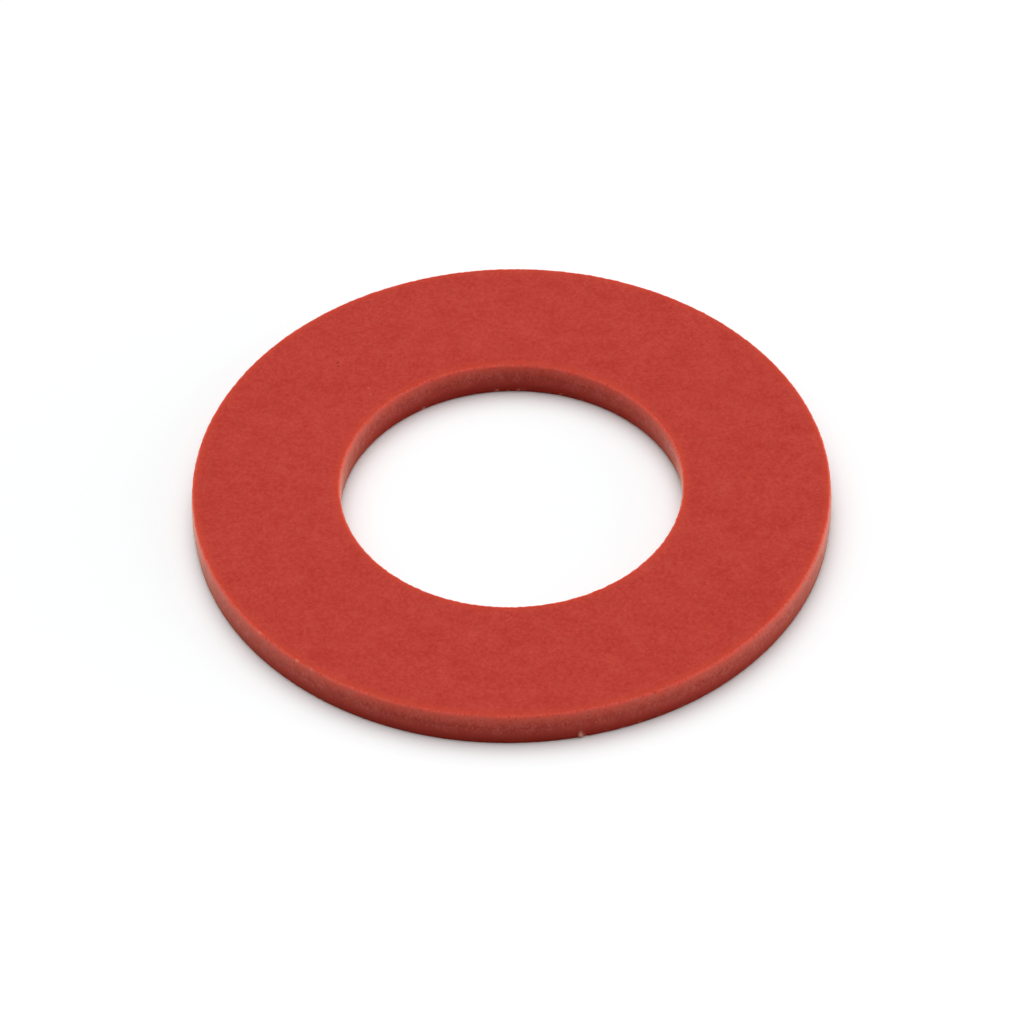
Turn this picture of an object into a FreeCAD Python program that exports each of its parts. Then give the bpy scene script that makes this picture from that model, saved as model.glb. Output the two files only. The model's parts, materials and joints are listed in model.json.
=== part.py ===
import FreeCAD, Part
import os
from math import asin, cos, pi
import Sketcher

# Flat sealing washer for the coupling of a water meter, die-cut in one piece from red sheet rubber.
# The origin is the centre of the lower face, on which the washer lies, and +Z is its axis.

# Driving sizes in millimetres. Each is a cell of the sheet, and the features read it from there.
sizes = {
    "outer_diameter": 25.4,
    "bore_diameter": 13.5,
    "sheet_thickness": 1.5,
    # the upper edges, which the knife drew down as it went in
    "upper_edge_radius": 0.2,
    # the lower edges, where the knife came out
    "lower_edge_break": 0.08,
    # the straight middle of a cut wall, which stands out furthest
    "land_height": 0.6,
    # the bulging curve that falls back from the land to an edge
    "flank_radius": 1.5,
}

# Names that the constraints go by: the two ends of an element, the origin and the axis across.
START, END = 1, 2
ORIGIN = (-1, 1)
X_AXIS = -1


def make_sheet(doc):
    sheet = doc.addObject("Spreadsheet::Sheet", "sizes")
    for row, (name, value) in enumerate(sizes.items(), start=1):
        sheet.set(f"A{row}", name)
        sheet.set(f"B{row}", str(value))
        sheet.setAlias(f"B{row}", name)
    doc.recompute()


def origin_plane(body, role):
    return next(feature for feature in body.Origin.OriginFeatures if feature.Role == role)


def tie(sketch, kind, elements):
    sketch.addConstraint(Sketcher.Constraint(kind, *elements))


def drive(sketch, kind, elements, name, expression):
    # A dimension that follows the sheet. Its first value is worked out from the same expression.
    value = sketch.evalExpression(expression)
    index = sketch.addConstraint(Sketcher.Constraint(kind, *elements, value))
    sketch.renameConstraint(index, name)
    sketch.setExpression(f"Constraints.{name}", expression)


def add_line(sketch, start, end):
    return sketch.addGeometry(Part.LineSegment(FreeCAD.Vector(*start, 0), FreeCAD.Vector(*end, 0)))


def add_arc(sketch, centre, radius, angles, side):
    # The angles are the rim's. The bore's wall is its mirror image.
    first, last = angles if side > 0 else (pi - angles[1], pi - angles[0])
    circle = Part.Circle(FreeCAD.Vector(*centre, 0), FreeCAD.Vector(0, 0, 1), radius)
    return sketch.addGeometry(Part.ArcOfCircle(circle, first, last))


def place_of(sketch, end):
    point = sketch.getPoint(*end)
    return point.x, point.y


def draw_wall(sketch, wall, diameter, side):
    # One cut wall from foot to head: lower break, bulging flank, straight land, bulging flank, upper edge.
    # side is 1 where the wall faces away from the axis and -1 where it faces the axis.
    edge, lower_break = sizes["upper_edge_radius"], sizes["lower_edge_break"]
    flank, thickness = sizes["flank_radius"], sizes["sheet_thickness"]
    face = sizes[diameter] / 2
    land_foot = (thickness - sizes["land_height"]) / 2
    land_head = thickness - land_foot
    flank_centre = face - side * flank
    lower_turn = asin((land_foot - lower_break) / flank)
    upper_turn = asin((thickness - edge - land_head) / (flank - edge))
    foot_face = flank_centre + side * flank * cos(lower_turn)
    edge_centre = flank_centre + side * (flank - edge) * cos(upper_turn)

    lower_edge = add_line(sketch, (foot_face - side * lower_break, 0), (foot_face, lower_break))
    lower_flank = add_arc(sketch, (flank_centre, land_foot), flank, (-lower_turn, 0), side)
    middle = add_line(sketch, (face, land_foot), (face, land_head))
    upper_flank = add_arc(sketch, (flank_centre, land_head), flank, (0, upper_turn), side)
    upper_edge = add_arc(sketch, (edge_centre, thickness - edge), edge, (upper_turn, pi / 2), side)

    # An arc starts at its foot on the rim and at its head on the bore.
    foot, head = (START, END) if side > 0 else (END, START)
    tie(sketch, "Coincident", (lower_edge, END, lower_flank, foot))
    tie(sketch, "Tangent", (lower_flank, head, middle, START))
    tie(sketch, "Tangent", (middle, END, upper_flank, foot))
    tie(sketch, "Tangent", (upper_flank, head, upper_edge, foot))
    tie(sketch, "Vertical", (middle,))

    # The lower break is as wide as it is high.
    across = (lower_edge, START, lower_edge, END) if side > 0 else (lower_edge, END, lower_edge, START)
    drive(sketch, "DistanceX", across, f"{wall}_break_width", "sizes.lower_edge_break")
    drive(sketch, "DistanceY", (*ORIGIN, lower_edge, END), f"{wall}_break_height", "sizes.lower_edge_break")

    land_foot_height = "(sizes.sheet_thickness - sizes.land_height) / 2"
    land_head_height = "(sizes.sheet_thickness + sizes.land_height) / 2"
    drive(sketch, "DistanceX", (*ORIGIN, middle, START), f"{wall}_face", f"sizes.{diameter} / 2")
    drive(sketch, "DistanceY", (*ORIGIN, middle, START), f"{wall}_land_foot", land_foot_height)
    drive(sketch, "DistanceY", (*ORIGIN, middle, END), f"{wall}_land_head", land_head_height)
    drive(sketch, "Radius", (lower_flank,), f"{wall}_lower_flank", "sizes.flank_radius")
    drive(sketch, "Radius", (upper_flank,), f"{wall}_upper_flank", "sizes.flank_radius")
    drive(sketch, "Radius", (upper_edge,), f"{wall}_upper_edge", "sizes.upper_edge_radius")
    return (lower_edge, START), (upper_edge, head)


def draw_section(sketch):
    # The ring's section: the rim's wall and the bore's wall, joined by the two faces of the sheet.
    rim_foot, rim_head = draw_wall(sketch, "rim", "outer_diameter", 1)
    bore_foot, bore_head = draw_wall(sketch, "bore", "bore_diameter", -1)

    lower_face = add_line(sketch, place_of(sketch, bore_foot), place_of(sketch, rim_foot))
    tie(sketch, "Coincident", (*bore_foot, lower_face, START))
    tie(sketch, "Coincident", (*rim_foot, lower_face, END))
    tie(sketch, "PointOnObject", (lower_face, START, X_AXIS))
    tie(sketch, "Horizontal", (lower_face,))

    upper_face = add_line(sketch, place_of(sketch, bore_head), place_of(sketch, rim_head))
    tie(sketch, "Tangent", (*bore_head, upper_face, START))
    tie(sketch, "Tangent", (*rim_head, upper_face, END))
    tie(sketch, "Horizontal", (upper_face,))
    drive(sketch, "DistanceY", (*ORIGIN, upper_face, START), "thickness", "sizes.sheet_thickness")


def make_washer(doc):
    body = doc.addObject("PartDesign::Body", "Washer")
    body.Label = "washer"
    body.Placement = FreeCAD.Placement()

    section = body.newObject("Sketcher::SketchObject", "RingSection")
    section.AttachmentSupport = [(origin_plane(body, "XZ_Plane"), "")]
    section.MapMode = "FlatFace"
    draw_section(section)
    doc.recompute()
    if not section.FullyConstrained:
        raise RuntimeError("the ring's section isn't fully constrained")

    ring = body.newObject("PartDesign::Revolution", "Ring")
    ring.Profile = section
    ring.ReferenceAxis = (section, ["V_Axis"])
    ring.Angle = 360
    doc.recompute()
    return body


def check(doc, bodies):
    for item in doc.Objects:
        if "Invalid" in item.State or "Error" in item.State:
            raise RuntimeError(f"{item.Name} is {item.State}")
    for body in bodies:
        if body.Shape.isNull() or not body.Shape.isValid() or len(body.Shape.Solids) != 1:
            raise RuntimeError(f"{body.Label} isn't one valid solid")


doc = FreeCAD.newDocument("water_meter_washer")
make_sheet(doc)
bodies = [make_washer(doc)]
check(doc, bodies)

os.makedirs("parts", exist_ok=True)
for body in bodies:
    body.Shape.exportStep(f"parts/{body.Label}.step")
    print(f"{body.Label}: {body.Shape.Volume:.2f} mm3, {len(body.Shape.Faces)} faces")
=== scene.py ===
import json
import random
from math import cos, exp, pi, radians, sin
import bpy
from mathutils import Matrix, Vector, noise


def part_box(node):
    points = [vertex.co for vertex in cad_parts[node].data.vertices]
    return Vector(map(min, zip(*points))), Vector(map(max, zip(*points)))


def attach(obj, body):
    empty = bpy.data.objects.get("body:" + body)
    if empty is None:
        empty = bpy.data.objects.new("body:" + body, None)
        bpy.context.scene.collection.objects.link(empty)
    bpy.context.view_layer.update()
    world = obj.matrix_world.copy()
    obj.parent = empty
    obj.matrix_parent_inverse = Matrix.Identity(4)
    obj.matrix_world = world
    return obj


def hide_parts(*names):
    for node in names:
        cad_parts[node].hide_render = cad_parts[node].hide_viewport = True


# Water meter washer: one flat ring, die-cut from red sheet rubber, lying on a pale table in a light tent.
mm = 0.001  # sizes below are millimetres times mm, because the scene is in metres

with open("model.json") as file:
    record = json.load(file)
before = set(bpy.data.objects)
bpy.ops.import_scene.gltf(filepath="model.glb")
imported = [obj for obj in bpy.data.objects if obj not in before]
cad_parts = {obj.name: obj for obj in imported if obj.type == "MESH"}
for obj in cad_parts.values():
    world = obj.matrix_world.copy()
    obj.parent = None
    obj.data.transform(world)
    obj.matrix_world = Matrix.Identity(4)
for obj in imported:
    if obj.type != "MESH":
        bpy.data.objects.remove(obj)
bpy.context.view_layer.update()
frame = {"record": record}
print("frame loaded")


def linearColor(hexCode):
    # sRGB hex to the linear colour that shaders take
    channels = [int(hexCode[i:i + 2], 16) / 255 for i in (1, 3, 5)]
    return [c / 12.92 if c <= 0.04045 else ((c + 0.055) / 1.055) ** 2.4 for c in channels] + [1.0]


def addNode(tree, kind, inputs=None, **settings):
    # inputs holds a value or another node's socket for each socket, by name or number
    node = tree.nodes.new(kind)
    for name, value in settings.items():
        setattr(node, name, value)
    for name, value in (inputs or {}).items():
        if isinstance(value, bpy.types.NodeSocket):
            tree.links.new(value, node.inputs[name])
        else:
            node.inputs[name].default_value = value
    return node


def newMaterial(name):
    material = bpy.data.materials.new(name)
    material.use_nodes = True
    material.node_tree.nodes.clear()
    return material


# The ring, as the knife left it

mounts = {mount["name"]: mount["dims"] for mount in frame["record"]["mounts"] if mount["dims"]}

ring = {
    "rimRadius": mounts["rim"]["r_mm"] * mm,
    "boreRadius": mounts["bore"]["r_mm"] * mm,
    "thickness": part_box("washer")[1].z,
    "bulge": 0.056 * mm,  # how far the middle of a cut wall stands out from its ends
    "headRadius": 0.11 * mm,  # upper edges, drawn down by the knife
    "footRadius": 0.05 * mm,  # lower edges, where the knife came out
    "drawIn": 0.012 * mm,  # how far the upper face sinks beside a cut
    "drawInWidth": 0.35 * mm,
    "lipWidth": 0.06 * mm,  # the uneven lip that the knife left on the upper edge
    "boreFlare": 0.09 * mm,  # how much wider the bore is at its foot
    "boreLean": 0.082 * mm,  # how far its foot is shifted, and towards which angle
    "boreLeanAngle": 302.0,
    "skinReach": 0.08,  # how far the skin goes down an upper edge, as a share of the edge's radius
    "steps": 1380,  # vertices round the ring
    "headSteps": 7,
    "wallSteps": 16,
    "footSteps": 3,
    "upperSteps": 15,
    "upperCrowding": 0.8,  # 0 spaces a face's rows evenly, 1 crowds them most towards the cuts
    "lowerSteps": 5,
    "lowerCrowding": 0.7,
}

# What the knife and the rollers left uneven: how far, and the size of one bump
unevenness = {
    "outOfRound": (0.020 * mm, 7.0 * mm),
    "knifeDrag": (0.006 * mm, 0.22 * mm),
    "tornGrain": (0.005 * mm, 0.11 * mm),
    "lip": (0.090 * mm, 0.17 * mm),
    "rollerWave": (0.006 * mm, 1.6 * mm),
}
dragStretch = 0.25  # the smaller this is, the longer the knife's marks are up the wall

# Torn rubber on the rim's wall: a fleck at the foot in front, and nicks in the upper edge at the left.
# Each has its wall, angle, height, half width, half height, how far it stands out and how pale it is.
shreds = [
    ("rim", 281.2, 0.22 * mm, 0.06 * mm, 0.12 * mm, 0.09 * mm, 1.0),
    ("rim", 281.5, 0.09 * mm, 0.10 * mm, 0.08 * mm, 0.05 * mm, 0.8),
    ("rim", 282.1, 0.10 * mm, 0.07 * mm, 0.09 * mm, -0.06 * mm, 0.0),
    ("rim", 219.1, 1.46 * mm, 0.06 * mm, 0.05 * mm, 0.015 * mm, 0.35),
    ("rim", 228.7, 1.46 * mm, 0.06 * mm, 0.05 * mm, 0.015 * mm, 0.3),
    ("rim", 232.0, 1.45 * mm, 0.05 * mm, 0.05 * mm, 0.012 * mm, 0.25),
]
shredReach = 3  # a shred has faded out this many half widths, or half heights, from its middle

# Rows of crumbs along the foot of a wall: wall, first and last angle, how many, and how pale, from and to
crumbRows = [
    ("bore", 62, 122, 18, (0.4, 0.9)),
    ("bore", 122, 422, 44, (0.1, 0.5)),
    ("rim", 284, 310, 14, (0.1, 0.5)),
    ("rim", 310, 550, 26, (0.1, 0.5)),
]
crumb = {
    "seed": 11,
    "scatter": 1.8,  # how far a crumb may be from its even place, in spaces between crumbs
    "halfWidth": (0.025 * mm, 0.07 * mm),
    "flatness": 0.7,  # half height as a share of half width
    "standsOut": (0.004 * mm, 0.02 * mm),
    "height": (0.4, 1.0),  # how high it lies, as a share of the row's height
    "rowHeight": 0.10 * mm,
}


def bump(place, kind, stretch=1.0):
    # How far the surface stands out at this place, by smooth noise
    reach, size = unevenness[kind]
    x, y, z = place
    return reach * noise.noise(Vector((x, y, z * stretch)) / size)


def wallOutline():
    # One cut wall from foot to head: how far each point stands back from the middle, its height, its part
    middle = ring["thickness"] / 2
    bend = 8 * ring["bulge"] / ring["thickness"] ** 2

    def edge(radius, centre, turns, part):
        # A rounded edge that carries on from the bulge without a kink
        start = bend * (centre - middle) / (1 - bend * radius)
        back = bend * (centre - middle + radius * start) ** 2 / 2 + radius * cos(start)
        end = pi / 2 if centre > middle else -pi / 2
        angles = [start + (end - start) * i / turns for i in range(turns + 1)]
        return [(back - radius * cos(angle), centre + radius * sin(angle), part) for angle in angles]

    head = edge(ring["headRadius"], ring["thickness"] - ring["headRadius"], ring["headSteps"], "head")
    foot = edge(ring["footRadius"], ring["footRadius"], ring["footSteps"], "foot")
    low, high, steps = foot[0][1], head[0][1], ring["wallSteps"]
    heights = [low + (high - low) * i / steps for i in range(1, steps)]
    return foot[::-1] + [(bend * (height - middle) ** 2 / 2, height, "wall") for height in heights] + head


def faceRadii(near, far, steps, crowding):
    # Radii between two cuts, crowded towards both of them
    shares = [i / steps for i in range(1, steps)]
    crowded = [share - crowding * sin(2 * pi * share) / (2 * pi) for share in shares]
    return [near + (far - near) * share for share in crowded]


def ringOutline():
    # The closed section: lower face outwards, rim upwards, upper face inwards, bore downwards
    rim, bore, thickness = ring["rimRadius"], ring["boreRadius"], ring["thickness"]
    wall = wallOutline()
    footBack, headBack = wall[0][0], wall[-1][0]
    lower = faceRadii(bore + footBack, rim - footBack, ring["lowerSteps"], ring["lowerCrowding"])
    upper = faceRadii(rim - headBack, bore + headBack, ring["upperSteps"], ring["upperCrowding"])
    outline = [(radius, 0.0, "lower") for radius in lower]
    outline += [(rim - back, height, "rim " + part) for back, height, part in wall]
    outline += [(radius, thickness, "upper") for radius in upper]
    outline += [(bore + back, height, "bore " + part) for back, height, part in reversed(wall)]
    return outline


def placePoint(radius, height, part, angle):
    # A point of the section turned to this angle, with the unevenness of the surface that it is on
    place = Vector((radius * cos(angle), radius * sin(angle), height))
    outward = 1 if radius > (ring["rimRadius"] + ring["boreRadius"]) / 2 else -1
    fromCut = (ring["rimRadius"] - radius) if outward > 0 else (radius - ring["boreRadius"])
    besideCut = exp(-max(fromCut, 0) / ring["drawInWidth"])
    wobble = bump(place, "outOfRound", 0.0)
    if part.endswith(("foot", "wall", "head")):
        wobble += bump(place, "knifeDrag", dragStretch) + bump(place, "tornGrain")
    radius += outward * wobble * besideCut
    if part.startswith("bore"):
        lean = ring["boreLean"] * cos(angle - radians(ring["boreLeanAngle"]))
        radius += (ring["boreFlare"] + lean) * (1 - height / ring["thickness"]) ** 2
    if part == "upper" or part.endswith("head"):
        rise = height / ring["thickness"]
        height -= ring["drawIn"] * besideCut * rise
        height += bump(place, "rollerWave", 0.0) * (1 - besideCut)
        height += bump(place, "lip", 0.0) * exp(-max(fromCut, 0) / ring["lipWidth"]) * rise
    return [radius, height]


def allShreds():
    # The shreds that the photo shows, and crumbs along the feet of both walls
    pick = random.Random(crumb["seed"])
    found = list(shreds)
    for wall, first, last, count, paleness in crumbRows:
        for i in range(count):
            angle = first + (last - first) * (i + crumb["scatter"] * pick.random()) / count
            halfWidth = pick.uniform(*crumb["halfWidth"])
            out = pick.uniform(*crumb["standsOut"])
            height = crumb["rowHeight"] * pick.uniform(*crumb["height"])
            halfHeight = crumb["flatness"] * halfWidth
            found.append((wall, angle % 360, height, halfWidth, halfHeight, out, pick.uniform(*paleness)))
    return found


def shapeRing():
    # The section, the points of the ring row by row, and how pale with tearing each of them is
    outline = ringOutline()
    steps = ring["steps"]
    points = [[placePoint(*section, 2 * pi * j / steps) for j in range(steps)] for section in outline]
    torn = [[0.0] * steps for _ in outline]
    for wall, angle, height, halfWidth, halfHeight, out, paleness in allShreds():
        side = 1 if wall == "rim" else -1
        spacing = 2 * pi * ring[wall + "Radius"] / steps
        middle = radians(angle) / (2 * pi) * steps
        reach = int(shredReach * halfWidth / spacing) + 2
        for i, (_, level, part) in enumerate(outline):
            if not part.startswith(wall) or abs(level - height) > shredReach * halfHeight:
                continue
            for j in range(int(middle) - reach, int(middle) + reach + 1):
                along = (j - middle) * spacing
                strength = exp(-((along / halfWidth) ** 2) - ((level - height) / halfHeight) ** 2)
                points[i][j % steps][0] += side * out * strength
                torn[i][j % steps] = max(torn[i][j % steps], paleness * strength)
    return outline, points, torn


def buildWasher():
    # The mesh, with its skin in slot 0 and its cut walls in slot 1
    outline, points, torn = shapeRing()
    rows, steps, top = len(outline), ring["steps"], ring["thickness"]
    vertices = []
    for row in points:
        for j, (radius, height) in enumerate(row):
            angle = 2 * pi * j / steps
            vertices.append((radius * cos(angle), radius * sin(angle), max(height, 0.0)))
    faces, slots = [], []
    for i in range(rows):
        nextRow = (i + 1) % rows
        parts = {outline[i][2], outline[nextRow][2]}
        belowTop = max(abs(outline[i][1] - top), abs(outline[nextRow][1] - top))
        skin = bool(parts & {"upper", "lower"}) or belowTop < ring["headRadius"] * ring["skinReach"]
        for j in range(steps):
            k = (j + 1) % steps
            faces.append((i * steps + j, i * steps + k, nextRow * steps + k, nextRow * steps + j))
            slots.append(0 if skin else 1)
    mesh = bpy.data.meshes.new("washer")
    mesh.from_pydata(vertices, [], faces)
    mesh.polygons.foreach_set("use_smooth", [True] * len(faces))
    mesh.polygons.foreach_set("material_index", slots)
    tornShare = mesh.attributes.new("torn", "FLOAT", "POINT")
    tornShare.data.foreach_set("value", [share for row in torn for share in row])
    fromCut = mesh.attributes.new("fromCut", "FLOAT", "POINT")
    distances = [max(min(ring["rimRadius"] - r, r - ring["boreRadius"]), 0.0) for r, _, _ in outline]
    fromCut.data.foreach_set("value", [distance for distance in distances for _ in range(steps)])
    mesh.update()
    washer = bpy.data.objects.new("die_cut_washer", mesh)
    bpy.context.scene.collection.objects.link(washer)
    return washer


washer = buildWasher()
print(f"washer shaped: {len(washer.data.polygons)} faces")


def marbling(tree, place, size, detail, roughness, spread):
    # Cloudy noise whose largest blotches have this size, widened so that its values fill 0 to 1
    cloud = addNode(tree, "ShaderNodeTexNoise", {
        "Vector": place, "Scale": 1 / size, "Detail": detail, "Roughness": roughness})
    return addNode(tree, "ShaderNodeMapRange", {
        "Value": cloud.outputs["Fac"], "From Min": 0.5 - spread, "From Max": 0.5 + spread}).outputs["Result"]


# Red sheet rubber, calendered: the rollers leave a matt skin, faintly marbled at every scale down to its
# grain. Light goes a little way into it, red light furthest, so the drawn-down edges glow.

sheetSkin = {
    "deepRed": "#AC2416",
    "paleRed": "#CD5044",
    "marbling": {"size": 1.0 * mm, "detail": 5.0, "roughness": 0.95, "spread": 0.18},
    # the filler's grains are finer than a pixel, so they are drawn as coarse as they need to show
    "grain": {"size": 0.13 * mm, "detail": 2.0, "roughness": 0.7, "spread": 0.24},
    "grainShare": 0.55,  # how much of the marbling is grain
    "stretchedSkinAndGlowRed": "#CC4A30",  # beside a cut: the stretched skin there is more orange, and its extra brightness is a painted glow of the edge
    "bandWidth": 0.45 * mm,
    "bandCore": 0.15 * mm,  # the band is strongest this close to the cut
    "bandShare": 0.5,
    "fillerRed": "#C75C4C",  # two grains of pale filler: x, y and radius
    "fillers": [(-5.70 * mm, 5.58 * mm, 0.06 * mm), (-5.62 * mm, 5.20 * mm, 0.05 * mm)],
    "pitRed": "#98291C",  # two pits and a scratch
    "pits": [(-6.95 * mm, 7.12 * mm, 0.06 * mm), (-6.93 * mm, 6.91 * mm, 0.05 * mm)],
    "spotEdge": (1.4, 0.6),  # a spot fades in between these shares of its radius
    "scratchEnds": ((-8.47 * mm, 5.86 * mm), (-7.05 * mm, 4.94 * mm)),
    "scratchHalfWidth": 0.04 * mm,
    "scratchShare": 0.4,
    "reliefStrength": 0.4,
    "relief": 0.004 * mm,  # how high the grain stands
    "roughness": 0.6,
    "specular": 0.09,
    "depth": 0.4 * mm,
    "reach": (1.0, 0.25, 0.15),  # red, green and blue light, as shares of the depth
}


def spots(tree, place, places):
    # 1 inside each small round spot of the upper face and 0 outside them
    outer, inner = sheetSkin["spotEdge"]
    total = 0.0
    for x, y, radius in places:
        away = addNode(tree, "ShaderNodeVectorMath", {
            0: place, 1: (x, y, ring["thickness"])}, operation="DISTANCE")
        spot = addNode(tree, "ShaderNodeMapRange", {
            "Value": away.outputs["Value"], "From Min": radius * outer, "From Max": radius * inner})
        total = addNode(tree, "ShaderNodeMath", {
            0: spot.outputs["Result"], 1: total}, operation="MAXIMUM").outputs[0]
    return total


def scratched(tree, place, ends, halfWidth):
    # 1 along a straight scratch in the upper face, fading to 0 at its sides and ends
    first, last = Vector((*ends[0], 0)), Vector((*ends[1], 0))
    length = (last - first).length
    onward = (last - first).normalized()
    across = Vector((-onward.y, onward.x, 0))
    shares = []
    for direction, centre, far, near in (
            (across, first, halfWidth, 0.0), (onward, (first + last) / 2, length / 2, length / 4)):
        along = addNode(tree, "ShaderNodeVectorMath", {0: place, 1: direction}, operation="DOT_PRODUCT")
        away = addNode(tree, "ShaderNodeMath", {
            0: along.outputs["Value"], 1: direction.dot(centre)}, operation="SUBTRACT")
        distance = addNode(tree, "ShaderNodeMath", {0: away.outputs[0]}, operation="ABSOLUTE")
        share = addNode(tree, "ShaderNodeMapRange", {
            "Value": distance.outputs[0], "From Min": far, "From Max": near})
        shares.append(share.outputs["Result"])
    return addNode(tree, "ShaderNodeMath", {0: shares[0], 1: shares[1]}, operation="MULTIPLY").outputs[0]


def calenderedSkin():
    skin = sheetSkin
    material = newMaterial("calendered red rubber")
    tree = material.node_tree
    place = addNode(tree, "ShaderNodeTexCoord").outputs["Object"]

    grain = marbling(tree, place, **skin["grain"])
    marble = addNode(tree, "ShaderNodeMix", {
        0: skin["grainShare"], 2: marbling(tree, place, **skin["marbling"]), 3: grain}).outputs[0]

    fromCut = addNode(tree, "ShaderNodeAttribute", attribute_name="fromCut").outputs["Fac"]
    # a band beside each cut: the stretched skin's orange, and a painted glow of light at the edge
    band = addNode(tree, "ShaderNodeMapRange", {
        "Value": fromCut, "From Min": skin["bandWidth"], "From Max": skin["bandCore"],
        "To Max": skin["bandShare"]}, interpolation_type="SMOOTHSTEP").outputs["Result"]

    scratch = addNode(tree, "ShaderNodeMath", {
        0: scratched(tree, place, skin["scratchEnds"], skin["scratchHalfWidth"]),
        1: skin["scratchShare"]}, operation="MULTIPLY").outputs[0]

    color = linearColor(skin["deepRed"])
    for share, red in (
            (marble, "paleRed"), (band, "stretchedSkinAndGlowRed"), (spots(tree, place, skin["fillers"]), "fillerRed"),
            (spots(tree, place, skin["pits"]), "pitRed"), (scratch, "pitRed")):
        color = addNode(tree, "ShaderNodeMix", {
            0: share, 6: color, 7: linearColor(skin[red])}, data_type="RGBA").outputs[2]

    relief = addNode(tree, "ShaderNodeBump", {
        "Height": grain, "Strength": skin["reliefStrength"], "Distance": skin["relief"]})
    shader = addNode(tree, "ShaderNodeBsdfPrincipled", {
        "Base Color": color, "Roughness": skin["roughness"], "Specular IOR Level": skin["specular"],
        "Subsurface Weight": 1.0, "Subsurface Scale": skin["depth"],
        "Subsurface Radius": skin["reach"], "Normal": relief.outputs["Normal"]})
    addNode(tree, "ShaderNodeOutputMaterial", {"Surface": shader.outputs["BSDF"]})
    return material


# The same rubber where the knife went through: darker towards the foot and paler towards the top, a ramp by
# height that is painted shade near the table and painted light on the upper wall. It is clean at the foot
# and dusty above, with a thin lip of skin that the knife drew down. At a low angle the dust glows, and the
# polish that the knife left shows the white surroundings.

cutRubber = {
    # the first three reds paint shade and light by height: darkest at the foot, where the table's shade
    # falls, brightest at the head, where the light falls
    "shadedFootRed": "#9C2E22",
    "halfShadedRed": "#B7473D",
    "headRed": "#EB6655",
    "footTop": 0.1 * mm,  # up to here the wall has the foot's red, the deepest painted shade
    "middleFrom": 0.5,  # between these shares of the height it has the middle's red, a half-way painted shade
    "middleTo": 0.6,
    "headDrop": 0.1 * mm,  # from this far below the top it has the head's red, a painted highlight
    "dustRed": "#DB6B5F",  # rubber dust, in clouds and in single grains
    "clouds": {"size": 0.40 * mm, "detail": 4.0, "roughness": 0.75, "spread": 0.2},
    "cloudStart": 0.35,  # the value of the noise from which it shows as a cloud
    "cloudShare": 0.60,
    # single grains are finer than a pixel, so they are drawn as coarse as they need to show
    "specks": {"size": 0.10 * mm, "detail": 2.0, "roughness": 0.6, "spread": 0.25},
    "speckStart": 0.60,
    "speckShare": 0.75,
    "poreRed": "#8E271E",
    "poreStart": 0.35,  # the value of the noise below which it shows as a pore
    "poreShare": 0.45,
    "dustFoot": 0.35 * mm,  # dust and pores fade in between these heights
    "dustHead": 1.0 * mm,
    "streak": (1.0, 1.0, 0.75),  # they lie in short streaks up the wall, where the knife dragged them
    "lipRed": "#C64533",
    "lipWidth": 0.055 * mm,
    "lipStart": 1.6,  # the lip fades in between these depths below the top, in lip widths
    "lipFull": 0.6,
    "lipRagged": 1.5,  # how much the specks shift its lower edge, in lip widths
    "lipShare": 0.8,
    "tornRed": "#FFC2AC",  # freshly torn rubber
    "reliefGrain": 0.06 * mm,
    "reliefDetail": 3.0,
    "reliefRoughness": 0.65,
    "reliefStrength": 0.5,
    "relief": 0.01 * mm,  # how high the grain stands
    "roughness": 0.6,
    "specular": 0.0,  # all its gloss is the knife's polish
    "polish": 0.05,  # at the foot
    "lipPolish": 0.64,
    "polishSpread": (0.8, 1.2),  # the polish is this much weaker and stronger from speck to speck
    "polishRoughness": 0.10,
    "polishIor": 1.15,
    "bloom": 0.46,  # dust that glows at a low angle
    "bloomRoughness": 0.3,
    "bloomTint": "#FFC79C",
    "depth": 0.15 * mm,  # dust stops the light sooner than skin does
}


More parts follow.
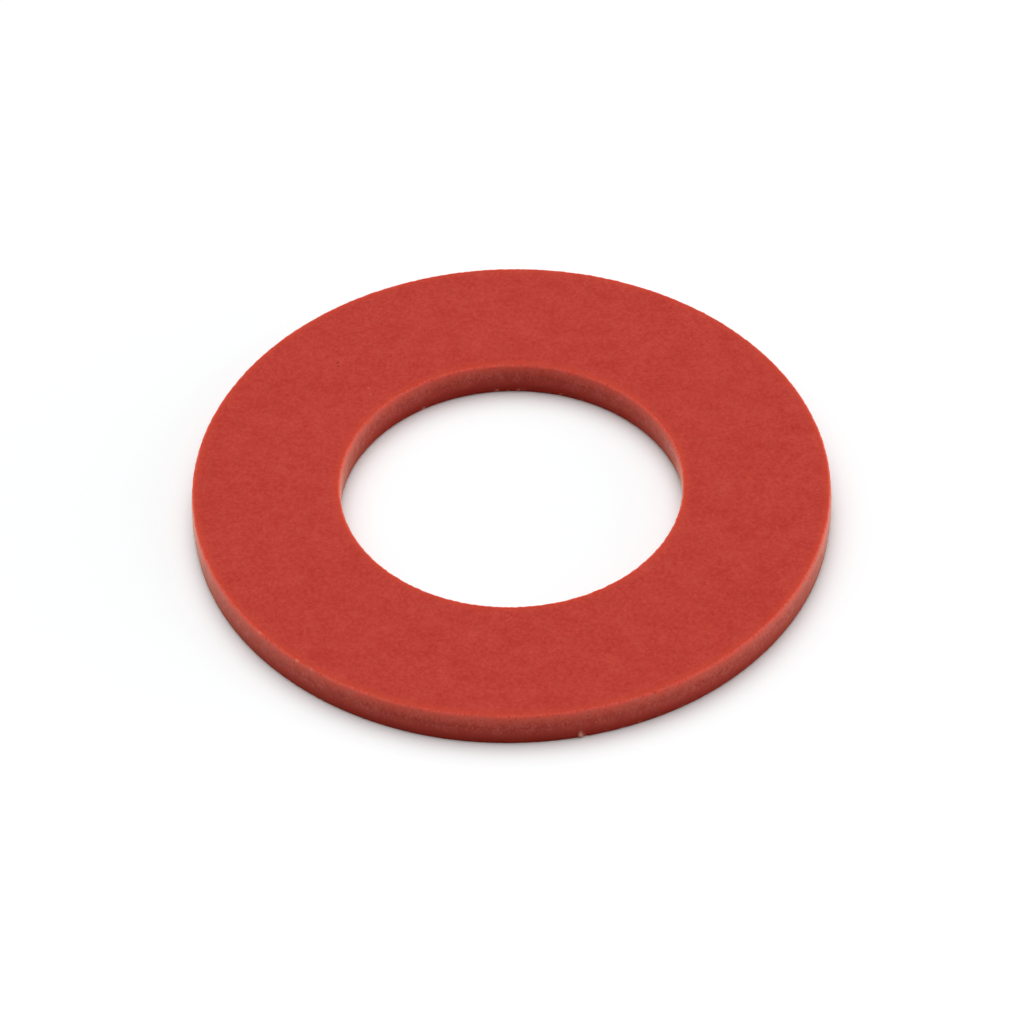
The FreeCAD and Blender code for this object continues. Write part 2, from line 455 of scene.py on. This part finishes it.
def dieCutWall():
    cut = cutRubber
    material = newMaterial("die-cut red rubber")
    tree = material.node_tree
    place = addNode(tree, "ShaderNodeTexCoord").outputs["Object"]
    height = addNode(tree, "ShaderNodeSeparateXYZ", {"Vector": place}).outputs["Z"]
    top = ring["thickness"]

    # painted shade and light: the wall's red darkens towards the foot and brightens towards the head
    lower = addNode(tree, "ShaderNodeMapRange", {
        "Value": height, "From Min": cut["footTop"], "From Max": cut["middleFrom"] * top})
    upper = addNode(tree, "ShaderNodeMapRange", {
        "Value": height, "From Min": cut["middleTo"] * top, "From Max": top - cut["headDrop"]})

    streaked = addNode(tree, "ShaderNodeVectorMath", {
        0: place, 1: cut["streak"]}, operation="MULTIPLY").outputs["Vector"]
    clouds = marbling(tree, streaked, **cut["clouds"])
    specks = marbling(tree, streaked, **cut["specks"])
    dusty = addNode(tree, "ShaderNodeMapRange", {
        "Value": height, "From Min": cut["dustFoot"], "From Max": cut["dustHead"]}).outputs["Result"]
    cloudy = addNode(tree, "ShaderNodeMapRange", {
        "Value": clouds, "From Min": cut["cloudStart"], "From Max": 1.0, "To Max": cut["cloudShare"]})
    grainy = addNode(tree, "ShaderNodeMapRange", {
        "Value": specks, "From Min": cut["speckStart"], "From Max": 1.0, "To Max": cut["speckShare"]})
    porous = addNode(tree, "ShaderNodeMapRange", {
        "Value": specks, "From Min": cut["poreStart"], "From Max": 0.0, "To Max": cut["poreShare"]})
    dust = addNode(tree, "ShaderNodeMath", {
        0: cloudy.outputs["Result"], 1: grainy.outputs["Result"]}, operation="ADD").outputs[0]
    dust = addNode(tree, "ShaderNodeMath", {0: dust, 1: dusty}, operation="MULTIPLY").outputs[0]
    pores = addNode(tree, "ShaderNodeMath", {
        0: porous.outputs["Result"], 1: dusty}, operation="MULTIPLY").outputs[0]

    # The lip's lower edge is ragged, because the specks lower the height that it goes by
    ragged = addNode(tree, "ShaderNodeMath", {
        0: specks, 1: -cut["lipRagged"] * cut["lipWidth"], 2: height}, operation="MULTIPLY_ADD").outputs[0]
    lipTop = top - ring["drawIn"]
    lip = addNode(tree, "ShaderNodeMapRange", {
        "Value": ragged, "From Min": lipTop - cut["lipStart"] * cut["lipWidth"],
        "From Max": lipTop - cut["lipFull"] * cut["lipWidth"], "To Max": cut["lipShare"]}).outputs["Result"]
    torn = addNode(tree, "ShaderNodeAttribute", attribute_name="torn").outputs["Fac"]

    # the first two mixes paint shade at the foot and light at the head; dust, pores, lip and torn rubber are
    # the rubber's own colours
    color = linearColor(cut["shadedFootRed"])
    for share, red in (
            (lower.outputs["Result"], "halfShadedRed"), (upper.outputs["Result"], "headRed"),
            (dust, "dustRed"), (pores, "poreRed"), (lip, "lipRed"), (torn, "tornRed")):
        color = addNode(tree, "ShaderNodeMix", {
            0: share, 6: color, 7: linearColor(cut[red])}, data_type="RGBA").outputs[2]

    least, most = cut["polishSpread"]
    polish = addNode(tree, "ShaderNodeMapRange", {
        "Value": height, "From Max": top, "To Min": cut["polish"], "To Max": cut["lipPolish"]})
    uneven = addNode(tree, "ShaderNodeMapRange", {"Value": specks, "To Min": least, "To Max": most})
    polish = addNode(tree, "ShaderNodeMath", {
        0: polish.outputs["Result"], 1: uneven.outputs["Result"]}, operation="MULTIPLY").outputs[0]

    grain = addNode(tree, "ShaderNodeTexNoise", {
        "Vector": place, "Scale": 1 / cut["reliefGrain"], "Detail": cut["reliefDetail"],
        "Roughness": cut["reliefRoughness"]})
    relief = addNode(tree, "ShaderNodeBump", {
        "Height": grain.outputs["Fac"], "Strength": cut["reliefStrength"], "Distance": cut["relief"]})
    shader = addNode(tree, "ShaderNodeBsdfPrincipled", {
        "Base Color": color, "Roughness": cut["roughness"], "Specular IOR Level": cut["specular"],
        "Coat Weight": polish, "Coat Roughness": cut["polishRoughness"], "Coat IOR": cut["polishIor"],
        "Sheen Weight": cut["bloom"], "Sheen Roughness": cut["bloomRoughness"],
        "Sheen Tint": linearColor(cut["bloomTint"]),
        "Subsurface Weight": 1.0, "Subsurface Scale": cut["depth"],
        "Subsurface Radius": sheetSkin["reach"], "Normal": relief.outputs["Normal"]})
    addNode(tree, "ShaderNodeOutputMaterial", {"Surface": shader.outputs["BSDF"]})
    return material


washer.data.materials.append(calenderedSkin())
washer.data.materials.append(dieCutWall())
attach(washer, "root")
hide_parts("washer")
print("rubber made")


# The table: a matt pale board that shows white to the camera and keeps the washer's shadow

table = {
    "halfWidth": 900 * mm,
    "below": 0.002 * mm,  # the gap under the washer, so that their faces don't coincide
    "bounce": "#E6E6E6",  # what it throws back onto the washer
    "shown": (1.005, 1.035, 1.04, 1.0),  # a little over white, so that it is white where no shadow falls
}


def seenRays(tree):
    # 1 for rays on which the white surroundings are seen, 0 for those that bring light
    rays = addNode(tree, "ShaderNodeLightPath").outputs
    direct = addNode(tree, "ShaderNodeMath", {
        0: rays["Is Camera Ray"], 1: rays["Is Glossy Ray"]}, operation="MAXIMUM")
    return addNode(tree, "ShaderNodeMath", {
        0: direct.outputs[0], 1: rays["Is Transmission Ray"]}, operation="MAXIMUM").outputs[0]


def layTable():
    half, level = table["halfWidth"], -table["below"]
    corners = [(-half, -half, level), (half, -half, level), (half, half, level), (-half, half, level)]
    mesh = bpy.data.meshes.new("table")
    mesh.from_pydata(corners, [], [(0, 1, 2, 3)])
    board = bpy.data.objects.new("table", mesh)
    bpy.context.scene.collection.objects.link(board)
    material = newMaterial("matt white board")
    tree = material.node_tree
    color = addNode(tree, "ShaderNodeMix", {
        0: seenRays(tree), 6: linearColor(table["bounce"]), 7: table["shown"]}, data_type="RGBA")
    shader = addNode(tree, "ShaderNodeBsdfDiffuse", {"Color": color.outputs[2]})
    addNode(tree, "ShaderNodeOutputMaterial", {"Surface": shader.outputs["BSDF"]})
    mesh.materials.append(material)


layTable()


# The light tent: soft panels, most of the light from overhead and behind, low ones at the sides, and none
# towards the camera

tentPanels = {  # azimuth and elevation in degrees, how tight the panel's glow is, the light it gives
    "overhead": (90, 90, 24, 0.405),
    "back": (90, 65, 14, 0.58),
    "left": (170, 65, 14, 0.21),
    "right": (0, 65, 14, 0.13),
    "midLeft": (170, 35, 7, 0.15),
    "lowLeft": (180, 10, 10, 0.11),
    "lowRight": (-5, 10, 10, 0.54),
}
panelScale = 0.45  # a panel's light is then about the share that it adds on a surface that faces it


def pitchTent():
    world = bpy.data.worlds.new("light tent")
    bpy.context.scene.world = world
    world.use_nodes = True
    tree = world.node_tree
    tree.nodes.clear()
    direction = addNode(tree, "ShaderNodeTexCoord").outputs["Generated"]
    total = 0.0
    for azimuth, elevation, tightness, light in tentPanels.values():
        a, e = radians(azimuth), radians(elevation)
        axis = (cos(a) * cos(e), sin(a) * cos(e), sin(e))
        facing = addNode(tree, "ShaderNodeVectorMath", {0: direction, 1: axis}, operation="DOT_PRODUCT")
        ahead = addNode(tree, "ShaderNodeMath", {0: facing.outputs["Value"], 1: 0.0}, operation="MAXIMUM")
        glow = addNode(tree, "ShaderNodeMath", {0: ahead.outputs[0], 1: tightness}, operation="POWER")
        peak = light * panelScale * (tightness + 1)
        total = addNode(tree, "ShaderNodeMath", {
            0: glow.outputs[0], 1: peak, 2: total}, operation="MULTIPLY_ADD").outputs[0]
    light = addNode(tree, "ShaderNodeBackground", {"Strength": total})
    white = addNode(tree, "ShaderNodeBackground", {"Color": (1, 1, 1, 1), "Strength": 1.0})
    shown = addNode(tree, "ShaderNodeMixShader", {
        0: seenRays(tree), 1: light.outputs[0], 2: white.outputs[0]})
    addNode(tree, "ShaderNodeOutputWorld", {"Surface": shown.outputs[0]})


pitchTent()


# The camera looks down on the washer from the front, from far enough to flatten it

view = {
    "elevation": 44.86,  # in degrees, as the roll is
    "distance": 209.6 * mm,
    "lookAt": (0.005 * mm, -0.141 * mm, 0.0),
    "roll": -0.988,
    "focalLength": 185.06,  # in millimetres, as the sensor's width is
    "sensorWidth": 36.0,
    "clip": (10 * mm, 10000 * mm),
}


def standCamera():
    data = bpy.data.cameras.new("camera")
    data.lens = view["focalLength"]
    data.sensor_width = view["sensorWidth"]
    data.clip_start, data.clip_end = view["clip"]
    camera = bpy.data.objects.new("camera", data)
    bpy.context.scene.collection.objects.link(camera)
    elevation = radians(view["elevation"])
    back = Vector((0, -cos(elevation), sin(elevation)))
    facing = (-back).to_track_quat("-Z", "Y").to_matrix().to_4x4()
    turned = facing @ Matrix.Rotation(radians(view["roll"]), 4, "Z")
    camera.matrix_world = Matrix.Translation(Vector(view["lookAt"]) + back * view["distance"]) @ turned
    bpy.context.scene.camera = camera


standCamera()
bpy.context.scene.view_settings.view_transform = "Standard"
print("table, tent and camera in place")
